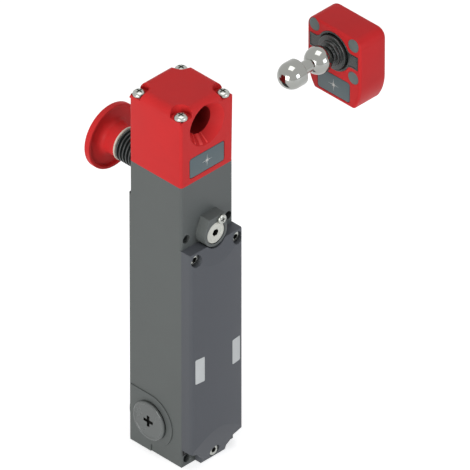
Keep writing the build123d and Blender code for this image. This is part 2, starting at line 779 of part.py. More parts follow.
# Actuator shell
with BuildPart() as actuator_shell:
    with BuildSketch(act_sketch_plane(0)) as shell_face:
        actuator_outline(0)
        fillet(shell_face.vertices(), 1.6)
    extrude(amount=shell_depth)
    fillet(actuator_shell.faces().sort_by(Axis.X)[0].edges(), 0.9)
    # channel of the band and well of the collar
    with BuildSketch(act_sketch_plane(0)) as channel:
        band_outline(0)
    extrude(amount=band_depth, mode=Mode.SUBTRACT)
    bar_x(collar_well_radius, act_y, act_z, act_x, act_x + collar_well_depth, Mode.SUBTRACT)
    # socket of the pivot ball, open to the rear for its seat
    bar_x(socket_mouth_radius, act_y, act_z, act_x, pivot_x, Mode.SUBTRACT)
    with Locations((pivot_x, act_y, act_z)):
        Sphere(pivot_radius + socket_gap, mode=Mode.SUBTRACT)
    bar_x(pivot_radius + socket_gap, act_y, act_z, pivot_x, act_x + shell_depth, Mode.SUBTRACT)
    # fixing holes with counterbores for the screw heads and caps
    for y, z in act_holes:
        bar_x(fixing_radius, y, z, act_x, act_x + shell_depth, Mode.SUBTRACT)
        bar_x(cap_radius + fit_gap, y, z, act_x, act_x + 8, Mode.SUBTRACT)
    # seat of the lower plate and pocket of the coded tag
    with BuildSketch(act_sketch_plane(0)) as plate_seat:
        with Locations((act_y, act_z - 22.6)):
            RectangleRounded(24.5, 13.4, 1.4)
        with Locations((act_y, act_z)):
            Circle(16.9, mode=Mode.SUBTRACT)
    extrude(amount=0.9, mode=Mode.SUBTRACT)
    bar_x(5.1, act_y, act_z - 23.4, act_x + 0.9, act_x + 4.0, Mode.SUBTRACT)
actuator_shell.part.label = "actuator_shell"
export_step(actuator_shell.part, "parts/actuator_shell.step")

# Back plate of the actuator
with BuildPart() as actuator_back:
    with BuildSketch(act_sketch_plane(shell_depth)) as back_face:
        actuator_outline(0)
        fillet(back_face.vertices(), 1.6)
    extrude(amount=act_back_plate)
    fillet(actuator_back.faces().sort_by(Axis.X)[-1].edges(), 2.2)
    for y, z in act_holes:
        bar_x(fixing_radius, y, z, act_x + shell_depth, act_x + act_depth, Mode.SUBTRACT)
actuator_back.part.label = "actuator_back"
export_step(actuator_back.part, "parts/actuator_back.step")

# Black band with the ring round the collar
with BuildPart() as actuator_band:
    with BuildSketch(act_sketch_plane(-band_proud)) as band:
        band_outline(fit_gap)
        with Locations((act_y, act_z)):
            Circle(collar_well_radius, mode=Mode.SUBTRACT)
    extrude(amount=band_depth + band_proud)
actuator_band.part.label = "actuator_band"
export_step(actuator_band.part, "parts/actuator_band.step")

# Grey plate below the pin
with BuildPart() as actuator_plate:
    with BuildSketch(act_sketch_plane(0.9)) as lower_plate:
        with Locations((act_y, act_z - 22.6)):
            RectangleRounded(24.0, 12.9, 1.2)
        with Locations((act_y, act_z)):
            Circle(17.2, mode=Mode.SUBTRACT)
    extrude(amount=-1.0)
actuator_plate.part.label = "actuator_plate"
export_step(actuator_plate.part, "parts/actuator_plate.step")

# Coded tag behind the lower plate
with BuildPart() as coded_tag:
    bar_x(5.0, act_y, act_z - 23.4, act_x + 0.9, act_x + 3.9)
coded_tag.part.label = "coded_tag"
export_step(coded_tag.part, "parts/coded_tag.step")

# Caps over the actuator's fixing screws
with BuildPart() as actuator_caps:
    for y, z in act_holes:
        bar_x(cap_radius, y, z, act_x - 0.1, act_x + cap_depth)
actuator_caps.part.label = "actuator_caps"
export_step(actuator_caps.part, "parts/actuator_caps.step")

# Rear half of the pivot socket
seat_radius = pivot_radius + socket_gap - fit_gap
cup_radius = pivot_radius + socket_gap
cup_from = 2.5
cup_mouth = math.sqrt(cup_radius**2 - cup_from**2)
cup_mid = cup_radius * math.sqrt(0.5)
with BuildPart() as pivot_seat:
    with BuildSketch(pin_plane()):
        with BuildLine():
            Polyline(
                (-pivot_depth - cup_radius, 0),
                (-shell_depth, 0),
                (-shell_depth, seat_radius),
                (-pivot_depth - cup_from, seat_radius),
                (-pivot_depth - cup_from, cup_mouth),
            )
            ThreePointArc(
                (-pivot_depth - cup_from, cup_mouth),
                (-pivot_depth - cup_mid, cup_mid),
                (-pivot_depth - cup_radius, 0),
            )
        make_face()
    revolve(axis=Axis(at_act(0, 0, 0), (1, 0, 0)))
pivot_seat.part.label = "pivot_seat"
export_step(pivot_seat.part, "parts/pivot_seat.step")

# Pivot ball, slotted for the blade of the pin
slot_half = blade_thickness / 2 + moving_gap
with BuildPart() as pivot_ball:
    with Locations((pivot_x, act_y, act_z)):
        Sphere(pivot_radius)
    block(
        pivot_x - pivot_radius - 1,
        pivot_x + blade_half_height + 0.4,
        act_y - slot_half,
        act_y + slot_half,
        act_z - pivot_radius - 1,
        act_z + pivot_radius + 1,
        Mode.SUBTRACT,
    )
    bar_y(cross_pin_radius, pivot_x, act_z, act_y + 5.6, act_y - 5.6, Mode.SUBTRACT)
pivot_ball.part.label = "pivot_ball"
export_step(pivot_ball.part, "parts/pivot_ball.step")

with BuildPart() as cross_pin:
    bar_y(cross_pin_radius, pivot_x, act_z, act_y + 5.6, act_y - 5.6)
cross_pin.part.label = "cross_pin"
export_step(cross_pin.part, "parts/cross_pin.step")

# Locking pin: stem, ball, neck and round-nosed tip, with a blade behind
ball_back = ball_at - math.sqrt(ball_radius**2 - stem_radius**2)
ball_front = ball_at + math.sqrt(ball_radius**2 - neck_radius**2)
nose = ball_radius * math.sqrt(0.5)
with BuildPart() as actuator_pin:
    with BuildSketch(pin_plane()):
        with BuildLine():
            Polyline((ball_back, stem_radius), (stem_end, stem_radius), (stem_end, 0), (tip_round_at + ball_radius, 0))
            ThreePointArc((tip_round_at + ball_radius, 0), (tip_round_at + nose, nose), (tip_round_at, ball_radius))
            Polyline(
                (tip_round_at, ball_radius),
                (tip_start + 0.7, ball_radius),
                (tip_start, ball_radius - 0.7),
                (tip_start, neck_radius),
                (ball_front, neck_radius),
            )
            ThreePointArc((ball_front, neck_radius), (ball_at, ball_radius), (ball_back, stem_radius))
        make_face()
    revolve(axis=Axis(at_act(0, 0, 0), (1, 0, 0)))
    with BuildSketch(pin_plane().offset(-blade_thickness / 2)):
        with Locations((-pivot_depth, 0)):
            Circle(blade_half_height)
        with Locations(((stem_end + 0.5 - pivot_depth) / 2, 0)):
            Rectangle(pivot_depth + stem_end + 0.5, 2 * blade_half_height)
    extrude(amount=blade_thickness)
    bar_y(cross_pin_radius + 0.03, pivot_x, act_z, act_y + 5, act_y - 5, Mode.SUBTRACT)
actuator_pin.part.label = "actuator_pin"
export_step(actuator_pin.part, "parts/actuator_pin.step")

# Stepped collar round the root of the pin
with BuildPart() as pin_collar:
    for radius, front in ((collar_radius, 2.0), (8.3, 3.6), (6.3, 4.8)):
        bar_x(radius, act_y, act_z, act_x - front, act_x + collar_back)
        fillet(pin_collar.faces().sort_by(Axis.X)[0].edges(), 0.5)
    bar_x(stem_radius, act_y, act_z, act_x - 6, act_x + collar_back, Mode.SUBTRACT)
pin_collar.part.label = "pin_collar"
export_step(pin_collar.part, "parts/pin_collar.step")
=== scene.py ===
import bpy
import json
import math
from mathutils import Vector, Matrix


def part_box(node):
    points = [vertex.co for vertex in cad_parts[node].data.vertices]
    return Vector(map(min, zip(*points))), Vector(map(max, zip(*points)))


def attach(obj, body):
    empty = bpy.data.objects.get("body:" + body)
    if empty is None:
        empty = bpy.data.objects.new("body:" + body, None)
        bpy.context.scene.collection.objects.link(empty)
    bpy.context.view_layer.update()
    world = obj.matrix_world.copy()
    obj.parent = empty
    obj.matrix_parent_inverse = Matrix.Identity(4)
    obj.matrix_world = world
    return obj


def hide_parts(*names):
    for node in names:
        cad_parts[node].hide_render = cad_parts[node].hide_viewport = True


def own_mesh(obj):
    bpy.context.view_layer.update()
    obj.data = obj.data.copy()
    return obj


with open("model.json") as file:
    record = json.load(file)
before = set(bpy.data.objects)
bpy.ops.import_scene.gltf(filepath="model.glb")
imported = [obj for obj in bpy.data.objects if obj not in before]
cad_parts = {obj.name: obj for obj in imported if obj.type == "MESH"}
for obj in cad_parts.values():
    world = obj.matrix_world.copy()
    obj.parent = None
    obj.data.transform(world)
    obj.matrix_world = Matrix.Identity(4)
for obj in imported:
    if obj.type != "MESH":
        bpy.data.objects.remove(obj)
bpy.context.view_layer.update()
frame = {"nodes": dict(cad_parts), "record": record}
nodes = frame["nodes"]
MM = 0.001
Y, Z = 1, 2


def box_mm(node):
    """Lowest and highest corner of a solid, in millimetres."""
    low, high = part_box(node)
    return Vector(low) / MM, Vector(high) / MM


def middle_mm(node, axis):
    """Middle of a solid along one axis, in millimetres."""
    low, high = box_mm(node)
    return low[axis] / 2 + high[axis] / 2


# Places in millimetres, in the frame of the four fixing holes
BASE, SEAM = box_mm("housing")[0].z, box_mm("housing")[1].z
FACE, REAR = box_mm("head")[0].y, box_mm("head")[1].y
HALF, TOP = box_mm("head")[1].x, box_mm("head")[1].z
MID = (FACE + REAR) / 2
ENTRY = middle_mm("actuator_pin", Z)
RELEASE = middle_mm("release_disc", Z)
ESCAPE = middle_mm("escape_button", Z)
COVER_TOP = box_mm("cover")[1].z
CONDUIT_Y, CONDUIT_Z = middle_mm("plug_left", Y), middle_mm("plug_left", Z)
ACT_X, ACT_Y = box_mm("actuator_shell")[0].x, middle_mm("actuator_shell", Y)
ACT_HALF = box_mm("actuator_shell")[1].y - ACT_Y
ACT_ABOVE = box_mm("actuator_shell")[1].z - ENTRY
ACT_BELOW = ENTRY - box_mm("actuator_shell")[0].z
SHELL = box_mm("actuator_shell")[1].x - ACT_X

# Shared distances in millimetres: what counts as the same place, how far a cutter runs past a face,
# and how far one face is kept off another
CLOSE, OVER, HAIR = 0.01, 1, 0.05


# Materials

def add_node(tree, kind, inputs=None, operation=None):
    """A node whose inputs are set, or linked where the value is another node's output."""
    node = tree.nodes.new(kind)
    if operation:
        node.operation = operation
    for label, value in (inputs or {}).items():
        if isinstance(value, bpy.types.NodeSocket):
            tree.links.new(value, node.inputs[label])
        else:
            node.inputs[label].default_value = value
    return node.outputs


def calculate(tree, operation, *terms):
    """Output of a math node."""
    return add_node(tree, "ShaderNodeMath", dict(enumerate(terms)), operation)[0]


def scaled_color(tree, color, amount):
    """Output of a node that makes a colour lighter or darker."""
    return add_node(tree, "ShaderNodeVectorMath", {0: color, "Scale": amount}, "SCALE")[0]


def new_group(name, inputs, outputs):
    """An empty node group with named sockets."""
    group = bpy.data.node_groups.new(name, "ShaderNodeTree")
    for label, kind, value in inputs:
        socket = group.interface.new_socket(label, in_out="INPUT", socket_type=kind)
        socket.default_value = value
    for label, kind in outputs:
        group.interface.new_socket(label, in_out="OUTPUT", socket_type=kind)
    return group, group.nodes.new("NodeGroupInput").outputs, group.nodes.new("NodeGroupOutput").inputs


SURFACE_OUTPUTS = [
    ("Color", "NodeSocketColor"),
    ("Roughness", "NodeSocketFloat"),
    ("Height", "NodeSocketFloat"),
]


def moulded_grain():
    """Fine spark-eroded grain of a plastic moulding, with a faint mottle of its colour."""
    inputs = [
        ("Color", "NodeSocketColor", (0.5, 0.5, 0.5, 1)),
        ("Grain size", "NodeSocketFloat", 1400.0),
        ("Mottle", "NodeSocketFloat", 0.06),
        ("Roughness", "NodeSocketFloat", 0.45),
        ("Handling", "NodeSocketFloat", 0.06),
    ]
    group, source, out = new_group("Moulded grain", inputs, SURFACE_OUTPUTS)
    place = add_node(group, "ShaderNodeTexCoord")["Object"]
    grain_settings = {"Vector": place, "Scale": source["Grain size"], "Detail": 3}
    grain = add_node(group, "ShaderNodeTexNoise", grain_settings)["Fac"]
    cloud = add_node(group, "ShaderNodeTexNoise", {"Vector": place, "Scale": 38, "Detail": 4})["Fac"]
    # the cloud's usual range, 0.3 to 0.7, spread from -1 to 1
    spread_settings = {"Value": cloud, "From Min": 0.3, "From Max": 0.7, "To Min": -1}
    spread = add_node(group, "ShaderNodeMapRange", spread_settings)["Result"]
    amount = calculate(group, "MULTIPLY_ADD", spread, source["Mottle"], 1)
    hands = calculate(group, "MULTIPLY_ADD", spread, source["Handling"], source["Roughness"])
    group.links.new(scaled_color(group, source["Color"], amount), out["Color"])
    group.links.new(hands, out["Roughness"])
    group.links.new(grain, out["Height"])
    return group


def machined_lines():
    """Fine lines and small pits of turned or plated metal."""
    inputs = [
        ("Color", "NodeSocketColor", (0.7, 0.7, 0.7, 1)),
        ("Lines", "NodeSocketVector", (600.0, 600.0, 4000.0)),
        ("Depth", "NodeSocketFloat", 0.1),
        ("Roughness", "NodeSocketFloat", 0.25),
    ]
    group, source, out = new_group("Machined lines", inputs, SURFACE_OUTPUTS)
    place = add_node(group, "ShaderNodeTexCoord")["Object"]
    stretched = add_node(group, "ShaderNodeVectorMath", {0: place, 1: source["Lines"]}, "MULTIPLY")[0]
    lines = add_node(group, "ShaderNodeTexNoise", {"Vector": stretched, "Scale": 1, "Detail": 3})["Fac"]
    pits = add_node(group, "ShaderNodeTexNoise", {"Vector": place, "Scale": 220, "Detail": 3})["Fac"]
    # lines with half as much of the pits, brought round zero
    half, middle = 0.5, 0.75
    both = calculate(group, "MULTIPLY_ADD", pits, half, lines)
    shift = calculate(group, "SUBTRACT", both, middle)
    rough = calculate(group, "MULTIPLY_ADD", shift, source["Depth"], source["Roughness"])
    dim = calculate(group, "MULTIPLY_ADD", shift, source["Depth"], 1)
    group.links.new(scaled_color(group, source["Color"], dim), out["Color"])
    group.links.new(rough, out["Roughness"])
    group.links.new(lines, out["Height"])
    return group


GRAIN = moulded_grain()
LINES = machined_lines()
GRAIN_HEIGHT, LINE_HEIGHT = 0.0002, 0.0001
BEVEL_SAMPLES = 6


def surface(name, effect_group, settings, edge, strength, height):
    """A material with a shared effect, and a bump that also softens the piece's sharp edges."""
    mat = bpy.data.materials.new(name)
    mat.use_nodes = True
    tree = mat.node_tree
    shader = tree.nodes["Principled BSDF"]
    effect = tree.nodes.new("ShaderNodeGroup")
    effect.node_tree = effect_group
    for label, value in settings.items():
        effect.inputs[label].default_value = value
    bump = tree.nodes.new("ShaderNodeBump")
    bump.inputs["Strength"].default_value = strength
    bump.inputs["Distance"].default_value = height
    if edge:
        soft = tree.nodes.new("ShaderNodeBevel")
        soft.samples = BEVEL_SAMPLES
        soft.inputs["Radius"].default_value = edge * MM
        tree.links.new(soft.outputs["Normal"], bump.inputs["Normal"])
    tree.links.new(effect.outputs["Height"], bump.inputs["Height"])
    tree.links.new(effect.outputs["Color"], shader.inputs["Base Color"])
    tree.links.new(effect.outputs["Roughness"], shader.inputs["Roughness"])
    tree.links.new(bump.outputs["Normal"], shader.inputs["Normal"])
    return mat, shader


def plastic(name, color, roughness=0.45, grain=1400, bump=0.12, mottle=0.05, specular=0.3, edge=0.3):
    """A moulded plastic or rubber."""
    handling = 0.05
    settings = {"Color": (*color, 1), "Grain size": grain, "Mottle": mottle}
    settings |= {"Roughness": roughness, "Handling": handling}
    mat, shader = surface(name, GRAIN, settings, edge, bump, GRAIN_HEIGHT)
    shader.inputs["Specular IOR Level"].default_value = specular
    return mat


def metal(name, color, roughness=0.25, depth=0.1, lines=(600, 600, 4000), bump=0.05, edge=0.15):
    """A plated, turned or ground metal."""
    settings = {"Color": (*color, 1), "Lines": lines, "Depth": depth, "Roughness": roughness}
    mat, shader = surface(name, LINES, settings, edge, bump, LINE_HEIGHT)
    shader.inputs["Metallic"].default_value = 1
    return mat


body_color = (0.106, 0.116, 0.112)
along_pin, round_coil = (4000, 600, 600), (300, 300, 9000)

finish_of = {
    "grey_body": plastic("Grey body plastic", body_color, roughness=0.5, edge=0.12),
    "grey_cover": plastic("Grey cover plastic", (0.084, 0.090, 0.101), roughness=0.5),
    "red_head": plastic("Red head plastic", (0.64, 0.029, 0.030), specular=0.12, edge=0),
    "red_actuator": plastic("Red actuator plastic", (0.60, 0.025, 0.027), roughness=0.42, specular=0.12),
    "grey_plate": plastic("Grey plate plastic", (0.102, 0.138, 0.148), roughness=0.42),
    "grey_cap": plastic("Grey cap plastic", (0.13, 0.16, 0.155), roughness=0.5),
    "black_plastic": plastic("Black plastic", (0.018, 0.021, 0.020), roughness=0.24, bump=0.05, specular=0.6),
    "black_seal": plastic("Black seal rubber", (0.015, 0.015, 0.015), roughness=0.7),
    "black_bellows": plastic("Black bellows rubber", (0.016, 0.020, 0.019), 0.3, bump=0.05, specular=0.6),
    "pale_ring": plastic("Pale ring plastic", (0.72, 0.66, 0.56), roughness=0.5),
    "light_disc": plastic("Light disc plastic", (0.74, 0.74, 0.66), grain=2600, bump=0.35, mottle=0.12),
    "white_window": plastic("White window plastic", (0.61, 0.63, 0.62), roughness=0.35),
    "zinc_screw": metal("Zinc plated steel", (0.42, 0.43, 0.40), roughness=0.26, depth=0.15),
    "steel": metal("Ground steel", (0.62, 0.62, 0.62), roughness=0.3, depth=0.12),
    "chrome_pin": metal("Polished pin steel", (0.33, 0.335, 0.315), 0.10, 0.05, along_pin, 0.02, edge=0),
    "copper_coil": metal("Lacquered copper winding", (0.60, 0.25, 0.10), 0.3, 0.2, round_coil, 0.4),
    "green_board": plastic("Green circuit board", (0.02, 0.14, 0.06), roughness=0.35, mottle=0.15),
    "green_terminal": plastic("Green terminal plastic", (0.05, 0.30, 0.14), roughness=0.5),
}

# Paler red for the guide ribs: a painted highlight for the light they catch
painted_highlight_red = plastic("Red plastic with a painted highlight", (0.88, 0.075, 0.07), roughness=0.4, specular=0.15)
# Dark red for the entry bore: painted shade where the bore runs deep
painted_shade_bore_red = plastic("Painted shade of the entry bore", (0.24, 0.012, 0.012), roughness=0.4, specular=0.15)
plug_grey = plastic("Smooth plug plastic", body_color, roughness=0.28, grain=900, bump=0.05, specular=0.6)
# Near-black for the insides of sockets and cross recesses: painted shade
painted_socket_shade = plastic("Painted shade of a socket", (0.012, 0.012, 0.011), roughness=0.6, specular=0.1, edge=0)
printed_mark = plastic("Printed mark", (0.60, 0.60, 0.57), roughness=0.5, edge=0)

slots = {row["node"]: row["material_slot"] for row in frame["record"]["subparts"]}
for name, obj in nodes.items():
    for slot in obj.material_slots:
        slot.material = finish_of[slots[name]]


# Modelling moves

MERGE = 0.002 * MM
SMOOTH_ANGLE = math.radians(32)


def clear():
    """Leave edit mode with nothing selected."""
    if bpy.context.object and bpy.context.object.mode == "EDIT":
        bpy.ops.object.mode_set(mode="OBJECT")
    bpy.ops.object.select_all(action="DESELECT")


def take(piece):
    """Make a piece the only one selected."""
    clear()
    piece.select_set(True)
    bpy.context.view_layer.objects.active = piece


def draw(name, points):
    """A line through points in millimetres, drawn by extruding one point. It is left in edit mode."""
    clear()
    bpy.ops.mesh.primitive_plane_add(size=MM, location=Vector(points[0]) * MM)
    piece = bpy.context.object
    piece.name = name
    bpy.ops.object.transform_apply(location=True, rotation=True, scale=True)
    bpy.ops.object.mode_set(mode="EDIT")
    bpy.ops.mesh.select_all(action="SELECT")
    bpy.ops.mesh.merge(type="CENTER")
    for here, there in zip(points, points[1:]):
        step = (Vector(there) - Vector(here)) * MM
        bpy.ops.mesh.extrude_vertices_move(TRANSFORM_OT_translate={"value": step})
    bpy.ops.mesh.select_all(action="SELECT")
    return piece


def turned(name, centre, axis, profile, steps=72):
    """A turned piece: its half profile, given along and out from the axis, spun all round."""
    centre, axis = Vector(centre), Vector(axis)
    upright = abs(axis.z) > abs(axis.x) + abs(axis.y)
    out = Vector((1, 0, 0)) if upright else Vector((0, 0, 1))
    piece = draw(name, [centre + axis * along + out * radius for along, radius in profile])
    bpy.ops.mesh.spin(steps=steps, angle=2 * math.pi, center=centre * MM, axis=axis)
    bpy.ops.mesh.select_all(action="SELECT")
    bpy.ops.mesh.remove_doubles(threshold=MERGE)
    bpy.ops.mesh.normals_make_consistent(inside=False)
    clear()
    return piece


def stepped(places, radii):
    """Half profile with steps: each radius holds from one place to the next."""
    profile = [(places[0], 0)]
    for start, end, radius in zip(places, places[1:], radii):
        profile += [(start, radius), (end, radius)]
    return profile + [(places[-1], 0)]


def plane(origin, across, upward):
    """A drawing plane: its origin, its two directions and the direction it faces."""
    across, upward = Vector(across), Vector(upward)
    return Vector(origin), across, upward, across.cross(upward)


def slab(name, on, outline, low, high):
    """A flat piece: its outline drawn on a plane, filled, and extruded between two heights."""
    origin, across, upward, facing = on
    corners = [origin + across * u + upward * v + facing * low for u, v in outline]
    piece = draw(name, corners + corners[:1])
    bpy.ops.mesh.remove_doubles(threshold=MERGE)
    bpy.ops.mesh.edge_face_add()
    bpy.ops.mesh.extrude_region_move(TRANSFORM_OT_translate={"value": facing * (high - low) * MM})
    bpy.ops.mesh.select_all(action="SELECT")
    bpy.ops.mesh.normals_make_consistent(inside=False)
    clear()
    return piece


def round_edges(piece, test, radius, segments=4, along=None):
    """Round the edges whose two ends, in millimetres, pass the test, in one direction if along gives it."""
    take(piece)
    bpy.ops.object.mode_set(mode="EDIT")
    bpy.ops.mesh.select_mode(type="EDGE")
    bpy.ops.mesh.select_all(action="DESELECT")
    bpy.ops.object.mode_set(mode="OBJECT")
    places = [v.co / MM for v in piece.data.vertices]
    for edge in piece.data.edges:
        start, end = (places[i] for i in edge.vertices)
        in_line = along is None or (end - start).cross(along).length < CLOSE
        edge.select = in_line and test(start) and test(end)
    bpy.ops.object.mode_set(mode="EDIT")
    bpy.ops.mesh.bevel(
        offset=radius * MM, segments=segments, profile=0.5, affect="EDGES", clamp_overlap=False
    )
    bpy.ops.mesh.select_mode(type="VERT")
    clear()


def at_height(on, height):
    """A test for points that lie at one height over a drawing plane."""
    origin, _, _, facing = on
    return lambda place: abs((place - origin).dot(facing) - height) < CLOSE


def carve(piece, cutter, operation="DIFFERENCE"):
    """Cut one piece with another, or join it on, and take the cutter away."""
    take(piece)
    change = piece.modifiers.new("carve", "BOOLEAN")
    change.object = cutter
    change.operation = operation
    change.solver = "EXACT"
    bpy.ops.object.modifier_apply(modifier=change.name)
    bpy.data.objects.remove(cutter)


def repeat(piece, places):
    """A piece at the first of some places, copied to the others, all joined."""
    copies = []
    for place in places[1:]:
        copy = piece.copy()
        copy.data = piece.data.copy()
        copy.data.transform(Matrix.Translation((Vector(place) - Vector(places[0])) * MM))
        bpy.context.collection.objects.link(copy)
        copies.append(copy)
    take(piece)
    for copy in copies:
        copy.select_set(True)
    bpy.ops.object.join()
    return piece


def dress(piece, body, slot, *solids, finish=None):
    """Shade a finished piece and give it its material, its body and the solids it stands for."""
    take(piece)
    bpy.ops.object.shade_smooth_by_angle(angle=SMOOTH_ANGLE)
    piece.data.materials.clear()
    piece.data.materials.append(finish or finish_of[slot])
    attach(piece, body)
    if solids:
        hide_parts(*solids)
    clear()
    return piece


def paint(piece, finish, test):
    """Give another finish to the faces whose middle, in millimetres, passes the test; here it paints shade
    into bores, sockets, cross recesses and the collar's well.
    """
    piece.data.materials.append(finish)
    for face in piece.data.polygons:
        if test(face.center / MM):
            face.material_index = len(piece.data.materials) - 1


def arc(u, v, radius, start, end, steps=8):
    """Points of an arc, from one angle to another in degrees."""
    turns = [math.radians(start + (end - start) * i / steps) for i in range(steps + 1)]
    return [(u + radius * math.cos(t), v + radius * math.sin(t)) for t in turns]


def crown(along, out, rise, spread, turns):
    """Points of a screw head's domed rim, at some turns in radians from its side to its top."""
    return [(along + rise * math.sin(t), out + spread * math.cos(t)) for t in turns]


def hexagon(u, v, radius):
    """Outline of a hexagon socket."""
    return arc(u, v, radius, 0, 300, 5)


def rounded(corners, steps=5, closed=False):
    """Corner points, each with its own radius, as a line whose corners are rounded."""
    line = []
    for i, (u, v, radius) in enumerate(corners):
        if not radius or (not closed and i in (0, len(corners) - 1)):
            line.append((u, v))
            continue
        corner = Vector((u, v))
        back_way = (Vector(corners[i - 1][:2]) - corner).normalized()
        on_way = (Vector(corners[(i + 1) % len(corners)][:2]) - corner).normalized()
        half = back_way.angle(on_way) / 2
        centre = corner + (back_way + on_way).normalized() * radius / math.sin(half)
        first = corner + back_way * radius / math.tan(half) - centre
        last = corner + on_way * radius / math.tan(half) - centre
        turn = first.angle_signed(last)
        for k in range(steps + 1):
            spoke = first.copy()
            spoke.rotate(Matrix.Rotation(-turn * k / steps, 2))
            line.append(tuple(centre + spoke))
    return line


def rounded_box(half_u, half_v, radius, u=0.0, v=0.0):
    """Outline of a rectangle with rounded corners."""
    signs = ((1, 1), (-1, 1), (-1, -1), (1, -1))
    return rounded([(u + a * half_u, v + b * half_v, radius) for a, b in signs], closed=True)


def star(v, up_to=4.1, waist=0.55, short=0.45):
    """Outline of a mark with four slim long points and four short ones."""
    reach = (up_to, waist, short * up_to, waist) * 4
    turns = [i * math.pi / 8 for i in range(len(reach))]
    return [(r * math.cos(t), v + r * math.sin(t)) for r, t in zip(reach, turns)]


def cross_cutter(on, u, v, half_long, half_wide, top, deep):
    """Cutter of a cross recess."""
    arms = [(half_long, half_wide), (half_wide, half_wide), (half_wide, half_long)]
    outline = []
    for turn in range(4):
        for a, b in arms:
            for _ in range(turn):
                a, b = -b, a
            outline.append((u + a, v + b))
    return slab("cross_cutter", on, outline, top - deep, top + OVER)


UPWARD, REARWARD, FORWARD = (0, 0, 1), (0, 1, 0), (0, -1, 0)
TO_RIGHT, TO_LEFT = (1, 0, 0), (-1, 0, 0)
PIN_ROOT = (ACT_X, ACT_Y, ENTRY)
UP = plane((0, 0, 0), TO_RIGHT, REARWARD)
FRONT = plane((0, 0, 0), TO_RIGHT, UPWARD)
TO_PIN = plane(PIN_ROOT, FORWARD, UPWARD)
ALONG_PIN = plane(PIN_ROOT, TO_LEFT, UPWARD)

# Head, with a pocket for each screw, the funnel of the entry and the seat of its plate

head_top_round, head_corner_round = 5.1, 1.8
screw_offset, pocket_depth, pocket_radius, screw_hole_radius = 16.1, 5.2, 6, 2.05
through, pocket_top = 50, 9
bore_radius, bore_end, cone_end = 8.5, 30, 6
cone_start, cone_mouth_radius = -2, 14.77
plate_z, plate_sink, plate_proud = SEAM + 9.8, 0.9, 0.1
plate_half_wide, plate_half_high, plate_corner = 13.15, 6.35, 1.35
plate_groove, seat_corner = 0.35, 1.6
bolt_slot_half, bolt_slot_y = (6.3, 2.5), FACE + 17.4
reader_room_half, reader_room_y, reader_room_high = (11.5, 1.75), FACE + 4.75, 14
inside_bore, above_slot = 0.1, 20


def on_head_corner(place):
    """Whether a point lies on one of the head's four upright edges."""
    return abs(abs(place.x) - HALF) < CLOSE and abs(abs(place.y - MID) - HALF) < CLOSE


def in_entry_bore(place):
    """Whether a point lies in the bore, behind the funnel."""
    near = math.hypot(place.x, place.z - ENTRY) < bore_radius + inside_bore
    return near and place.y > FACE + cone_end and place.z > SEAM + above_slot


head = slab("head_shell", UP, [(-HALF, FACE), (HALF, FACE), (HALF, REAR), (-HALF, REAR)], SEAM, TOP)
round_edges(head, at_height(UP, TOP), head_top_round, 12)
pocket_floor = TOP - pocket_depth
signs = (-1, 1)
screw_places = [(a * screw_offset, MID + b * screw_offset, pocket_floor) for a in signs for b in signs]
pocket = stepped((-through, 0, pocket_top), (screw_hole_radius, pocket_radius))
for place in screw_places:
    carve(head, turned("pocket", place, UPWARD, pocket, 64))
round_edges(head, on_head_corner, head_corner_round, 5, along=Vector(UPWARD))
funnel = [(cone_start, 0), (cone_start, cone_mouth_radius), (cone_end, bore_radius), (bore_end, bore_radius)]
funnel += arc(bore_end, 0, bore_radius, 90, 0, 10)[1:]
carve(head, turned("funnel", (0, FACE, ENTRY), REARWARD, funnel, 96))
seat_half = (plate_half_wide + plate_groove, plate_half_high + plate_groove)
seat_outline = rounded_box(*seat_half, seat_corner, 0, plate_z)
carve(head, slab("plate_seat", FRONT, seat_outline, -FACE - plate_sink, -FACE + OVER))
carve(head, slab("bolt_slot", UP, rounded_box(*bolt_slot_half, 0, 0, bolt_slot_y), SEAM - OVER, ENTRY))
reader_outline = rounded_box(*reader_room_half, 0, 0, reader_room_y)
carve(head, slab("reader_room", UP, reader_outline, SEAM - OVER, SEAM + reader_room_high))
dress(head, "switch", "red_head", "head")
# painted shade: the faces deep in the entry bore take the dark red
paint(head, painted_shade_bore_red, in_entry_bore)

# Three guide ribs at the foot of the funnel

rib_outline = [(0.5, 12.95), (0.9, 12.0), (5.9, 8.05), (6.6, 8.7)]
rib_round = 0.12
for label, turn, half_wide in (("left", -42, 0.4), ("middle", -17, 1.25), ("right", 4, 0.4)):
    lean = math.radians(turn)
    outward = (math.sin(lean), 0, -math.cos(lean))
    on = plane((0, FACE, ENTRY), REARWARD, outward)
    rib = slab("guide_rib_" + label, on, rib_outline, -half_wide, half_wide)
    round_edges(rib, lambda place: True, rib_round, 2)
    # painted highlight: the ribs take the paler red in place of the head's own red
    dress(rib, "switch", "red_head", finish=painted_highlight_red)

# Plate below the entry, with its alignment mark

mark_low, mark_high = HAIR, 0.13
plate_edge = 0.3
plate_outline = rounded_box(plate_half_wide, plate_half_high, plate_corner, 0, plate_z)
plate = slab("head_plate_inlay", FRONT, plate_outline, -FACE - plate_sink, -FACE + plate_proud)
round_edges(plate, at_height(FRONT, -FACE + plate_proud), plate_edge, 3)
dress(plate, "switch", "grey_plate", "head_plate")
head_mark = slab("head_plate_mark", FRONT, star(plate_z), -FACE + mark_low, -FACE + mark_high)
dress(head_mark, "switch", "light_disc", finish=printed_mark)

# Pan head screws in the corner pockets

shank_radius, under_pan, pan_high = 2, 3.4, 2.8
pan_rim = [(0.25, 3.8), (0.9, 3.8)]
pan_cross, pan_cross_deep = (2.1, 0.5), 1.4
pan = [(-through, 0), (-through, shank_radius), (0, shank_radius), (0, under_pan)] + pan_rim
pan += crown(0.9, 1.0, 1.9, 2.8, (0.3, 0.6, 0.9, 1.2, 1.45)) + [(pan_high, 1.0), (pan_high, 0)]
x, y, _ = screw_places[0]
screws = turned("pan_head_screws", screw_places[0], UPWARD, pan, 48)
carve(screws, cross_cutter(UP, x, y, *pan_cross, pocket_floor + pan_high, pan_cross_deep))
repeat(screws, screw_places)
dress(screws, "switch", "zinc_screw", "head_screws")

# Release device: a round hood with a flat top that carries the sealing screw, and its disc

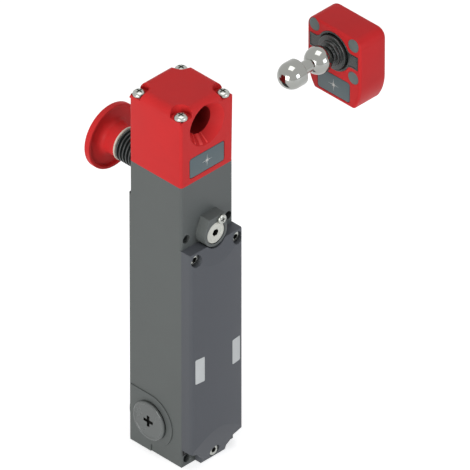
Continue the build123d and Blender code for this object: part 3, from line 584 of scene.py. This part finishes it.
disc_radius, disc_thick, disc_sunk = 6.6, 3.7, 0.3
BOSS_FRONT = box_mm("release_disc")[0].y - disc_sunk
HOOD_FRONT = HAIR - BOSS_FRONT
SEAL_X, SEAL_Z = 3.6, RELEASE + 7.9
flat_left, flat_right, flat_high, hood_radius = -5.1, 6.6, 10.6, 8.6
hood_edge, disc_room_radius, disc_room_deep, shaft_room_radius, hood_through = 0.35, 6.9, 4.2, 3.1, 9
seal_hole_radius = 1.3
dish_radius, dish_deep = 5.0, 0.2
disc_rim = [(-0.4, disc_radius), (-0.1, 6.45), (0, 6.2), (0, 5.2), (-dish_deep, dish_radius)]
disc_socket_radius, disc_socket_deep = 2.3, 2.8
disc_dark_from, disc_dark_radius = 0.6, 2.6


def tangent_angle(u, v, side):
    """Angle, in degrees, at which a line from a point touches the hood's round."""
    return math.degrees(math.atan2(v, u) + side * math.acos(hood_radius / math.hypot(u, v)))


right_angle, left_angle = tangent_angle(flat_right, flat_high, -1), tangent_angle(flat_left, flat_high, 1)
hood_outline = [(flat_left, RELEASE + flat_high)]
hood_outline += arc(0, RELEASE, hood_radius, left_angle, 360 + right_angle, 48)
hood_outline.append((flat_right, RELEASE + flat_high))
hood = slab("release_hood", FRONT, hood_outline, -FACE, HOOD_FRONT)
round_edges(hood, at_height(FRONT, HOOD_FRONT), hood_edge, 3)
disc_room = stepped((-OVER, disc_room_deep, hood_through), (disc_room_radius, shaft_room_radius))
carve(hood, turned("disc_bore", (0, -HOOD_FRONT, RELEASE), REARWARD, disc_room, 72))
seal_hole = stepped((-OVER, hood_through), (seal_hole_radius,))
carve(hood, turned("screw_bore", (SEAL_X, -HOOD_FRONT, SEAL_Z), REARWARD, seal_hole, 24))
dress(hood, "switch", "grey_body")

disc_profile = [(-disc_thick, 0), (-disc_thick, disc_radius)] + disc_rim + [(-dish_deep, 0)]
disc = turned("release_dial", (0, BOSS_FRONT + disc_sunk, RELEASE), FORWARD, disc_profile)
disc_socket = hexagon(0, RELEASE, disc_socket_radius)
carve(disc, slab("socket", FRONT, disc_socket, -BOSS_FRONT - disc_socket_deep, -BOSS_FRONT + OVER))
dress(disc, "release", "light_disc", "release_disc")


def in_disc_socket(place):
    """Whether a point lies inside the disc's socket."""
    near = math.hypot(place.x, place.z - RELEASE) < disc_dark_radius
    return near and place.y > BOSS_FRONT + disc_dark_from


# painted shade: the faces deep in the disc's hex socket take the near-black
paint(disc, painted_socket_shade, in_disc_socket)

# Sealing screw, whose head overlaps the disc

seal_shank, seal_shank_long, seal_high, seal_under = 1.25, 7, 1.8, 2.8
seal_cross, seal_cross_deep = (1.6, 0.35), 1.0
seal_dark_from, seal_dark_to, seal_dark_radius = 0.7, 1.75, 1.7
seal = [(-seal_shank_long, 0), (-seal_shank_long, seal_shank), (0, seal_shank), (0, seal_under)]
seal += crown(1.0, 2.1, 0.8, 0.8, (0, 0.4, 0.8, 1.2, 1.57)) + [(seal_high, 0)]
sealing = turned("sealing_screw_head", (SEAL_X, -HOOD_FRONT, SEAL_Z), FORWARD, seal, 40)
seal_top = -BOSS_FRONT + seal_high
carve(sealing, cross_cutter(FRONT, SEAL_X, SEAL_Z, *seal_cross, seal_top, seal_cross_deep))
dress(sealing, "switch", "zinc_screw", "sealing_screw")


def in_seal_cross(place):
    """Whether a point lies inside the sealing screw's cross recess."""
    near = math.hypot(place.x - SEAL_X, place.z - SEAL_Z) < seal_dark_radius
    return near and -HOOD_FRONT - seal_dark_to < place.y < -HOOD_FRONT - seal_dark_from


# painted shade: the faces inside the sealing screw's cross recess take the near-black
paint(sealing, painted_socket_shade, in_seal_cross)

# Cap screws of the cover

cap_screw_high, cap_screw_long, cap_screw_radius = 2, 11.6, 3.4
cap_screw_rim = [(1.6, cap_screw_radius), (1.9, 3.25), (cap_screw_high, 3.0)]
cap_socket_radius, cap_socket_from, cap_socket_to = 1.75, 0.6, 3
cap_dark_radius, cap_dark_deep = 1.8, 1.95
cap_x, cap_below_top, cap_above_base = 15.8, 4.8, 4.7
upper_seat, lower_seat = FACE - 4.0, FACE - 3.0
cover_screw_places = [(side * cap_x, upper_seat, COVER_TOP - cap_below_top) for side in signs]
cover_screw_places.append((0, lower_seat, BASE + cap_above_base))
cap_screw = [(-cap_screw_long, 0), (-cap_screw_long, shank_radius), (0, shank_radius), (0, cap_screw_radius)]
cap_screw += cap_screw_rim + [(cap_screw_high, 0)]
x, y, z = cover_screw_places[0]
cover_screws = turned("cover_cap_screws", (x, y, z), FORWARD, cap_screw, 48)
cap_socket = hexagon(x, z, cap_socket_radius)
carve(cover_screws, slab("socket", FRONT, cap_socket, -y + cap_socket_from, -y + cap_socket_to))
repeat(cover_screws, cover_screw_places)
dress(cover_screws, "switch", "zinc_screw", "cover_screws")


def in_cover_socket(place):
    """Whether a point lies inside the socket of a cover screw."""
    for a, b, c in cover_screw_places:
        near = math.hypot(place.x - a, place.z - c) < cap_dark_radius
        if near and -cap_dark_deep < place.y - b < 0:
            return True
    return False


# painted shade: the faces inside the cover screws' sockets take the near-black
paint(cover_screws, painted_socket_shade, in_cover_socket)

# Conduit plugs

plug_under, plug_face, plug_rim = HALF + 1.3, HALF + 2.65, HALF + 2.9
plug_inner, plug_shank, plug_radius = 13.5, 9.15, 12.0
plug_profile = rounded([
    (plug_inner, 0, 0), (plug_inner, plug_shank, 0.5), (plug_under, plug_shank, 0),
    (plug_under, plug_radius, 0.15), (plug_rim, plug_radius, 0.9), (plug_rim, 10.4, 0),
    (plug_face, 10.1, 0), (plug_face, 0, 0),
])
plug_cross, plug_cross_deep, plug_dark_radius = (3.6, 1.0), 1.5, 3.8
plug_dark_from, plug_dark_to = plug_under - 0.5, plug_face - HAIR


def in_plug_cross(place):
    """Whether a point lies inside a plug's cross recess."""
    near = math.hypot(place.y - CONDUIT_Y, place.z - CONDUIT_Z) < plug_dark_radius
    return near and plug_dark_from < abs(place.x) < plug_dark_to


for label, side in (("left", -1), ("right", 1)):
    centre = (0, CONDUIT_Y, CONDUIT_Z)
    plug = turned("conduit_plug_" + label, centre, (side, 0, 0), plug_profile, 96)
    on = plane(centre, (0, side, 0), UPWARD)
    carve(plug, cross_cutter(on, 0, 0, *plug_cross, plug_face, plug_cross_deep))
    dress(plug, "switch", "grey_body", "plug_" + label, finish=plug_grey)
    # painted shade: the faces inside the plug's cross recess take the near-black
    paint(plug, painted_socket_shade, in_plug_cross)

# Escape button, its pale ring and its bellows

behind = (0, REAR, ESCAPE)
bellows_long, ring_end, rod_radius, rod_room_end = 22, 23, 4.05, 31.8
hub_radius, crown_radius, crown_high, crown_top = 9.2, 18.9, 3.6, 39.3
dome_radius = (crown_radius ** 2 + crown_high ** 2) / (2 * crown_high)
dome_half = math.degrees(math.asin(crown_radius / dome_radius))
button = rounded([
    (ring_end, rod_radius, 0), (ring_end, hub_radius, 0.35), (33.2, hub_radius, 3.6), (33.5, 17.7, 0.15),
    (31.9, 18.2, 0.2), (31.9, 19.8, 0.45), (35.5, 19.8, 0.6), (35.8, crown_radius, 0),
])
button += arc(crown_top - dome_radius, 0, dome_radius, dome_half, 0, 14)[1:]
button += [(rod_room_end, 0), (rod_room_end, rod_radius), (ring_end, rod_radius)]
mushroom = turned("escape_mushroom", behind, REARWARD, button, 128)
dress(mushroom, "escape", "red_head", "escape_button")

ring_radius, ring_edge = 10.1, 0.25
ring_corners = [(bellows_long, rod_radius, 0), (bellows_long, ring_radius, ring_edge)]
ring_corners += [(ring_end, ring_radius, ring_edge), (ring_end, rod_radius, 0)]
ring_profile = rounded(ring_corners, 3) + [(bellows_long, rod_radius)]
end_ring = turned("bellows_end_ring", behind, REARWARD, ring_profile, 96)
dress(end_ring, "escape", "pale_ring", "bellows_ring")

rib_count, rib_radius, valley_radius, rib_edge, valley_edge = 9, 9.9, 8.1, 0.3, 0.15
bellows_inside, bellows_end_radius = 6.4, 8.2
pitch = bellows_long / rib_count
one_fold = [(0.15, valley_radius, valley_edge), (0.3, rib_radius, rib_edge)]
one_fold += [(0.7, rib_radius, rib_edge), (0.85, valley_radius, valley_edge)]
folds = [(0, bellows_inside, 0), (0, bellows_end_radius, 0)]
for i in range(rib_count):
    folds += [((i + share) * pitch, radius, edge) for share, radius, edge in one_fold]
folds += [(bellows_long, bellows_end_radius, 0), (bellows_long, bellows_inside, 0)]
bellows_profile = rounded(folds, 4) + [(0, bellows_inside)]
bellows = turned("bellows_folds", behind, REARWARD, bellows_profile, 96)
dress(bellows, "switch", "black_bellows", "escape_bellows")
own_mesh(bellows)

# Actuator: the flanks run straight to the shoulder, then in an arc to the narrower foot

shoulder, foot, top_corner, foot_corner = 15.0, ACT_HALF - 5.3, 6.0, 2.0
shell_edge, back_edge, back_thick = 1.5, 2.2, 3.5
reach = ACT_BELOW - shoulder
flank_radius = (reach ** 2 + (ACT_HALF - foot) ** 2) / (2 * (ACT_HALF - foot))
flank_end = -math.degrees(math.asin(reach / flank_radius))
flank = arc(ACT_HALF - flank_radius, -shoulder, flank_radius, 0, flank_end, 10)[:-1]
case_corners = [(-ACT_HALF, ACT_ABOVE, top_corner), (ACT_HALF, ACT_ABOVE, top_corner)]
case_corners += [(u, v, 0) for u, v in flank]
case_corners += [(foot, -ACT_BELOW, foot_corner), (-foot, -ACT_BELOW, foot_corner)]
case_corners += [(-u, v, 0) for u, v in reversed(flank)]
case_outline = rounded(case_corners, 8, closed=True)

band_bulge, band_half, band_hollow, band_end, band_deep, band_gap = 12.25, 4.45, 4.0, 1.9, 1.5, 0.05
well_radius, well_deep, well_shade_radius, well_shade_from = 11, 2.5, 11.2, 0.2
pivot_deep, pivot_mouth, pivot_room, pivot_edge_angle, pivot_edge_at = 7.5, 5.2, 6.1, 121.4, 3.18
cap_u, cap_v, cap_hole_radius, cap_hole_deep, screw_radius = 15, 10.6, 4.0, 8, 2.65
cut_above, cut_through = 2, 20
tag_v, tag_sink, tag_proud, tag_edge = -22.4, 0.9, 0.1, 0.3
tag_seat_size, tag_size = (12.55, 6.7, 2.0), (12.25, 6.4, 1.8)
cap_places = [(ACT_X, ACT_Y + a * cap_u, ENTRY + b * cap_v) for a in signs for b in signs]


def band_outline(grow):
    """Strip that runs into a round bulge through hollow corners."""
    bulge, half, hollow = band_bulge + grow, band_half + grow, band_hollow - grow
    v = band_half + band_hollow
    u = math.sqrt((band_bulge + band_hollow) ** 2 - v ** 2)
    touch = math.degrees(math.atan2(v, u))
    end = ACT_HALF - band_end + grow
    top_half = [(end, half)] + arc(u, v, hollow, 270, 180 + touch, 6)
    top_half += arc(0, 0, bulge, touch, 180 - touch, 24)[1:-1]
    top_half += arc(-u, v, hollow, 360 - touch, 270, 6) + [(-end, half)]
    return top_half + [(-a, -b) for a, b in top_half]


def in_well(place):
    """Whether a point lies in the well of the collar or in the pivot's socket."""
    near = math.hypot(place.y - ACT_Y, place.z - ENTRY) < well_shade_radius
    return near and place.x > ACT_X + well_shade_from


shell = slab("actuator_case", TO_PIN, case_outline, -SHELL, 0)
round_edges(shell, at_height(TO_PIN, 0), shell_edge, 6)
carve(shell, slab("band_channel", TO_PIN, band_outline(band_gap), -band_deep, cut_above))
socket = [(-cut_above, 0), (-cut_above, pivot_mouth), (pivot_deep - pivot_edge_at, pivot_mouth)]
socket += arc(pivot_deep, 0, pivot_room, pivot_edge_angle, 90, 4)[1:]
socket += [(cut_through, pivot_room), (cut_through, 0)]
carve(shell, turned("pivot_socket", PIN_ROOT, TO_RIGHT, socket, 64))
well = stepped((-cut_above, well_deep), (well_radius,))
carve(shell, turned("collar_well", PIN_ROOT, TO_RIGHT, well, 96))
cap_hole = stepped((-cut_above, cap_hole_deep, cut_through), (cap_hole_radius, screw_radius))
for place in cap_places:
    carve(shell, turned("cap_hole", place, TO_RIGHT, cap_hole, 48))
carve(shell, slab("tag_seat", TO_PIN, rounded_box(*tag_seat_size, 0, tag_v), -tag_sink, cut_above))
dress(shell, "actuator", "red_actuator", "actuator_shell")
# painted shade: the shell's faces in the collar's well and the pivot socket take the black plastic, so the
# gap round the collar reads dark
paint(shell, finish_of["black_plastic"], in_well)

back_plate = slab("actuator_back_cover", TO_PIN, case_outline, -SHELL - back_thick, -SHELL)
round_edges(back_plate, at_height(TO_PIN, -SHELL - back_thick), back_edge, 6)
back_hole = stepped((-OVER, back_thick + OVER), (screw_radius,))
for place in cap_places:
    carve(back_plate, turned("screw_hole", Vector(place) + Vector((SHELL, 0, 0)), TO_RIGHT, back_hole, 40))
dress(back_plate, "actuator", "red_actuator", "actuator_back")

# Black band round the collar

band_proud, band_edge, band_rim, band_face_at, band_hole_top = 0.3, 0.25, 0.9, 0.05, 4
band = slab("actuator_band_strip", TO_PIN, band_outline(-band_gap), -band_deep, band_proud)
round_edges(band, at_height(TO_PIN, band_proud), band_edge, 3)
carve(band, slab("band_face", TO_PIN, band_outline(-band_rim), band_face_at, cut_above))
band_hole = stepped((-cut_above, band_hole_top), (well_radius,))
carve(band, turned("collar_hole", PIN_ROOT, TO_RIGHT, band_hole, 96))
dress(band, "actuator", "black_plastic", "actuator_band")

# Plate below the band, with its alignment mark

tag = slab("actuator_plate_inlay", TO_PIN, rounded_box(*tag_size, 0, tag_v), -tag_sink, tag_proud)
round_edges(tag, at_height(TO_PIN, tag_proud), tag_edge, 3)
dress(tag, "actuator", "grey_plate", "actuator_plate")
tag_mark = slab("actuator_plate_mark", TO_PIN, star(tag_v), mark_low, mark_high)
dress(tag_mark, "actuator", "light_disc", finish=printed_mark)

# Caps of the four fixing holes

cap_profile = [(2.4, 0), (2.4, 3.9), (0.1, 3.9), (-0.05, 3.8), (-0.1, 3.6), (-0.02, 0)]
caps = turned("hole_caps", cap_places[0], TO_RIGHT, cap_profile, 48)
repeat(caps, cap_places)
dress(caps, "actuator", "grey_cap", "actuator_caps")

# Jointed pin, with the stepped collar round its root

collar_inside, collar_back = 3.65, -1.2
collar_rings = rounded([
    (collar_back, collar_inside, 0), (collar_back, 10.3, 0), (1.9, 10.3, 0.5), (1.9, 7.6, 0.3),
    (4.1, 7.6, 0.5), (4.1, 5.6, 0.25), (5.2, 5.6, 0.4), (5.2, 4.7, 0), (4.5, 4.7, 0),
    (4.5, collar_inside, 0),
], 4)
collar_profile = collar_rings + [(collar_back, collar_inside)]
collar = turned("stepped_collar", PIN_ROOT, TO_LEFT, collar_profile, 96)
dress(collar, "pin", "black_plastic", "pin_collar")

pin_root = [(-0.9, 0), (-0.9, 3.6)]
ball_at, ball_radius, ball_start, ball_end = 12, 8.1, 180 - 26.39, 27.98
tip_radius, tip_start, tip_end, nose_at, neck_radius, neck_start = 8.0, 27.6, 31, 32.8, 3.8, 19.6
ball = arc(ball_at, 0, ball_radius, ball_start, ball_end, 40)
tip_corners = [(neck_start, neck_radius, 0), (tip_start, neck_radius, 0.5)]
tip_corners += [(tip_start, tip_radius, 0.7), (tip_end, tip_radius, 0)]
nose = arc(nose_at, 0, tip_radius, 90, 0, 16)
pin = turned("locking_pin", PIN_ROOT, TO_LEFT, pin_root + ball + rounded(tip_corners) + nose, 128)

blade_half, blade_thick_half, cross_hole_radius, cross_hole_half = 3.2, 1.5, 1.53, 4
blade_outline = [(0, blade_half), (-pivot_deep, blade_half)]
blade_outline += arc(-pivot_deep, 0, blade_half, 90, 270, 12)[1:-1]
blade_outline += [(-pivot_deep, -blade_half), (0, -blade_half)]
blade = slab("pin_blade", ALONG_PIN, blade_outline, -blade_thick_half, blade_thick_half)
cross_hole = stepped((-cross_hole_half, cross_hole_half), (cross_hole_radius,))
carve(blade, turned("cross_hole", (ACT_X + pivot_deep, ACT_Y, ENTRY), REARWARD, cross_hole, 32))
carve(pin, blade, "UNION")
dress(pin, "pin", "chrome_pin", "actuator_pin")

# Studio

WHITE = (1, 1, 1, 1)


def added(tree, first, second):
    """Sum of two values, no more than one."""
    node = tree.nodes.new("ShaderNodeMath")
    node.operation = "ADD"
    node.use_clamp = True
    tree.links.new(first, node.inputs[0])
    tree.links.new(second, node.inputs[1])
    return node.outputs[0]


def studio_world(light_level=0.22, seen_level=1.0):
    """A world that the camera and polished faces see as white, and that lights the object less."""
    world = bpy.data.worlds.new("Studio")
    bpy.context.scene.world = world
    world.use_nodes = True
    tree = world.node_tree
    tree.nodes.clear()
    ray = add_node(tree, "ShaderNodeLightPath")
    direct = added(tree, ray["Is Camera Ray"], ray["Is Transmission Ray"])
    seen = added(tree, direct, ray["Is Glossy Ray"])
    levels = {"Value": seen, "To Min": light_level, "To Max": seen_level}
    level = add_node(tree, "ShaderNodeMapRange", levels)["Result"]
    background = add_node(tree, "ShaderNodeBackground", {"Color": WHITE, "Strength": level})
    add_node(tree, "ShaderNodeOutputWorld", {"Surface": background[0]})


def studio_floor(size=12, below=0.0002, glow=0.62):
    """A plain pale floor, lifted to the world's white where it is seen."""
    bpy.ops.object.select_all(action="DESELECT")
    bpy.ops.mesh.primitive_plane_add(size=size, location=(0, 0, BASE * MM - below))
    floor = bpy.context.object
    floor.name = "studio_floor"
    mat = bpy.data.materials.new("Pale studio floor")
    mat.use_nodes = True
    tree = mat.node_tree
    shader = tree.nodes["Principled BSDF"]
    shader.inputs["Base Color"].default_value = (0.86, 0.86, 0.86, 1)
    shader.inputs["Roughness"].default_value = 0.7
    shader.inputs["Specular IOR Level"].default_value = 0.1
    shader.inputs["Emission Color"].default_value = WHITE
    ray = add_node(tree, "ShaderNodeLightPath")
    seen = calculate(tree, "MAXIMUM", ray["Is Camera Ray"], ray["Is Glossy Ray"])
    lift = calculate(tree, "MULTIPLY", seen, glow)
    tree.links.new(lift, shader.inputs["Emission Strength"])
    floor.data.materials.append(mat)


def softbox(name, place, aim, size, power, tint=(1, 1, 1)):
    """A square lamp that faces the object."""
    light = bpy.data.lights.new(name, "AREA")
    light.size = size
    light.energy = power
    light.color = tint
    lamp = bpy.data.objects.new(name, light)
    bpy.context.collection.objects.link(lamp)
    lamp.location = place
    lamp.rotation_euler = (Vector(aim) - Vector(place)).to_track_quat("-Z", "Y").to_euler()
    lamp.visible_camera = False
    return lamp


studio_world()
studio_floor()
middle = (0.03, MID * MM, 0.05)
cool_white = (0.88, 0.91, 1.0)
softbox("left_softbox", (-1.5, -0.35, 0.35), middle, size=0.9, power=14)
softbox("front_softbox", (0.35, -1.5, 0.5), middle, size=0.7, power=7.2, tint=cool_white)
softbox("top_softbox", (0.1, 0.0, 1.6), middle, size=1.0, power=7)

# Camera along the body's diagonal, as in an isometric drawing, far off so that lines stay parallel
AZIMUTH, ELEVATION, FAR = math.radians(-45), math.asin(math.tan(math.radians(30))), 11.0
PX_PER_METRE, PHOTO_PX, SENSOR = 1830, 470, 36
CLIP_NEAR, CLIP_FAR = 1, 60
# pixel of the photo at which the body's upright axis crosses the seam
SEAM_PX = (181.15, 159.7)
cos_up, sin_up = math.cos(ELEVATION), math.sin(ELEVATION)
back = Vector((math.sin(AZIMUTH) * cos_up, -math.cos(AZIMUTH) * cos_up, sin_up))
right = Vector((math.cos(AZIMUTH), math.sin(AZIMUTH), 0))
up = back.cross(right)
aside = (PHOTO_PX / 2 - SEAM_PX[0]) / PX_PER_METRE
above = (SEAM_PX[1] - PHOTO_PX / 2) / PX_PER_METRE
look_at = Vector((0, MID, SEAM)) * MM + right * aside + up * above
camera_data = bpy.data.cameras.new("camera")
camera = bpy.data.objects.new("camera", camera_data)
bpy.context.collection.objects.link(camera)
camera_data.sensor_width = SENSOR
camera_data.lens = SENSOR * FAR * PX_PER_METRE / PHOTO_PX
camera_data.clip_start, camera_data.clip_end = CLIP_NEAR, CLIP_FAR
camera.location = look_at + back * FAR
camera.rotation_mode = "QUATERNION"
camera.rotation_quaternion = (-back).to_track_quat("-Z", "Y")
bpy.context.scene.camera = camera
bpy.context.scene.view_settings.view_transform = "Standard"
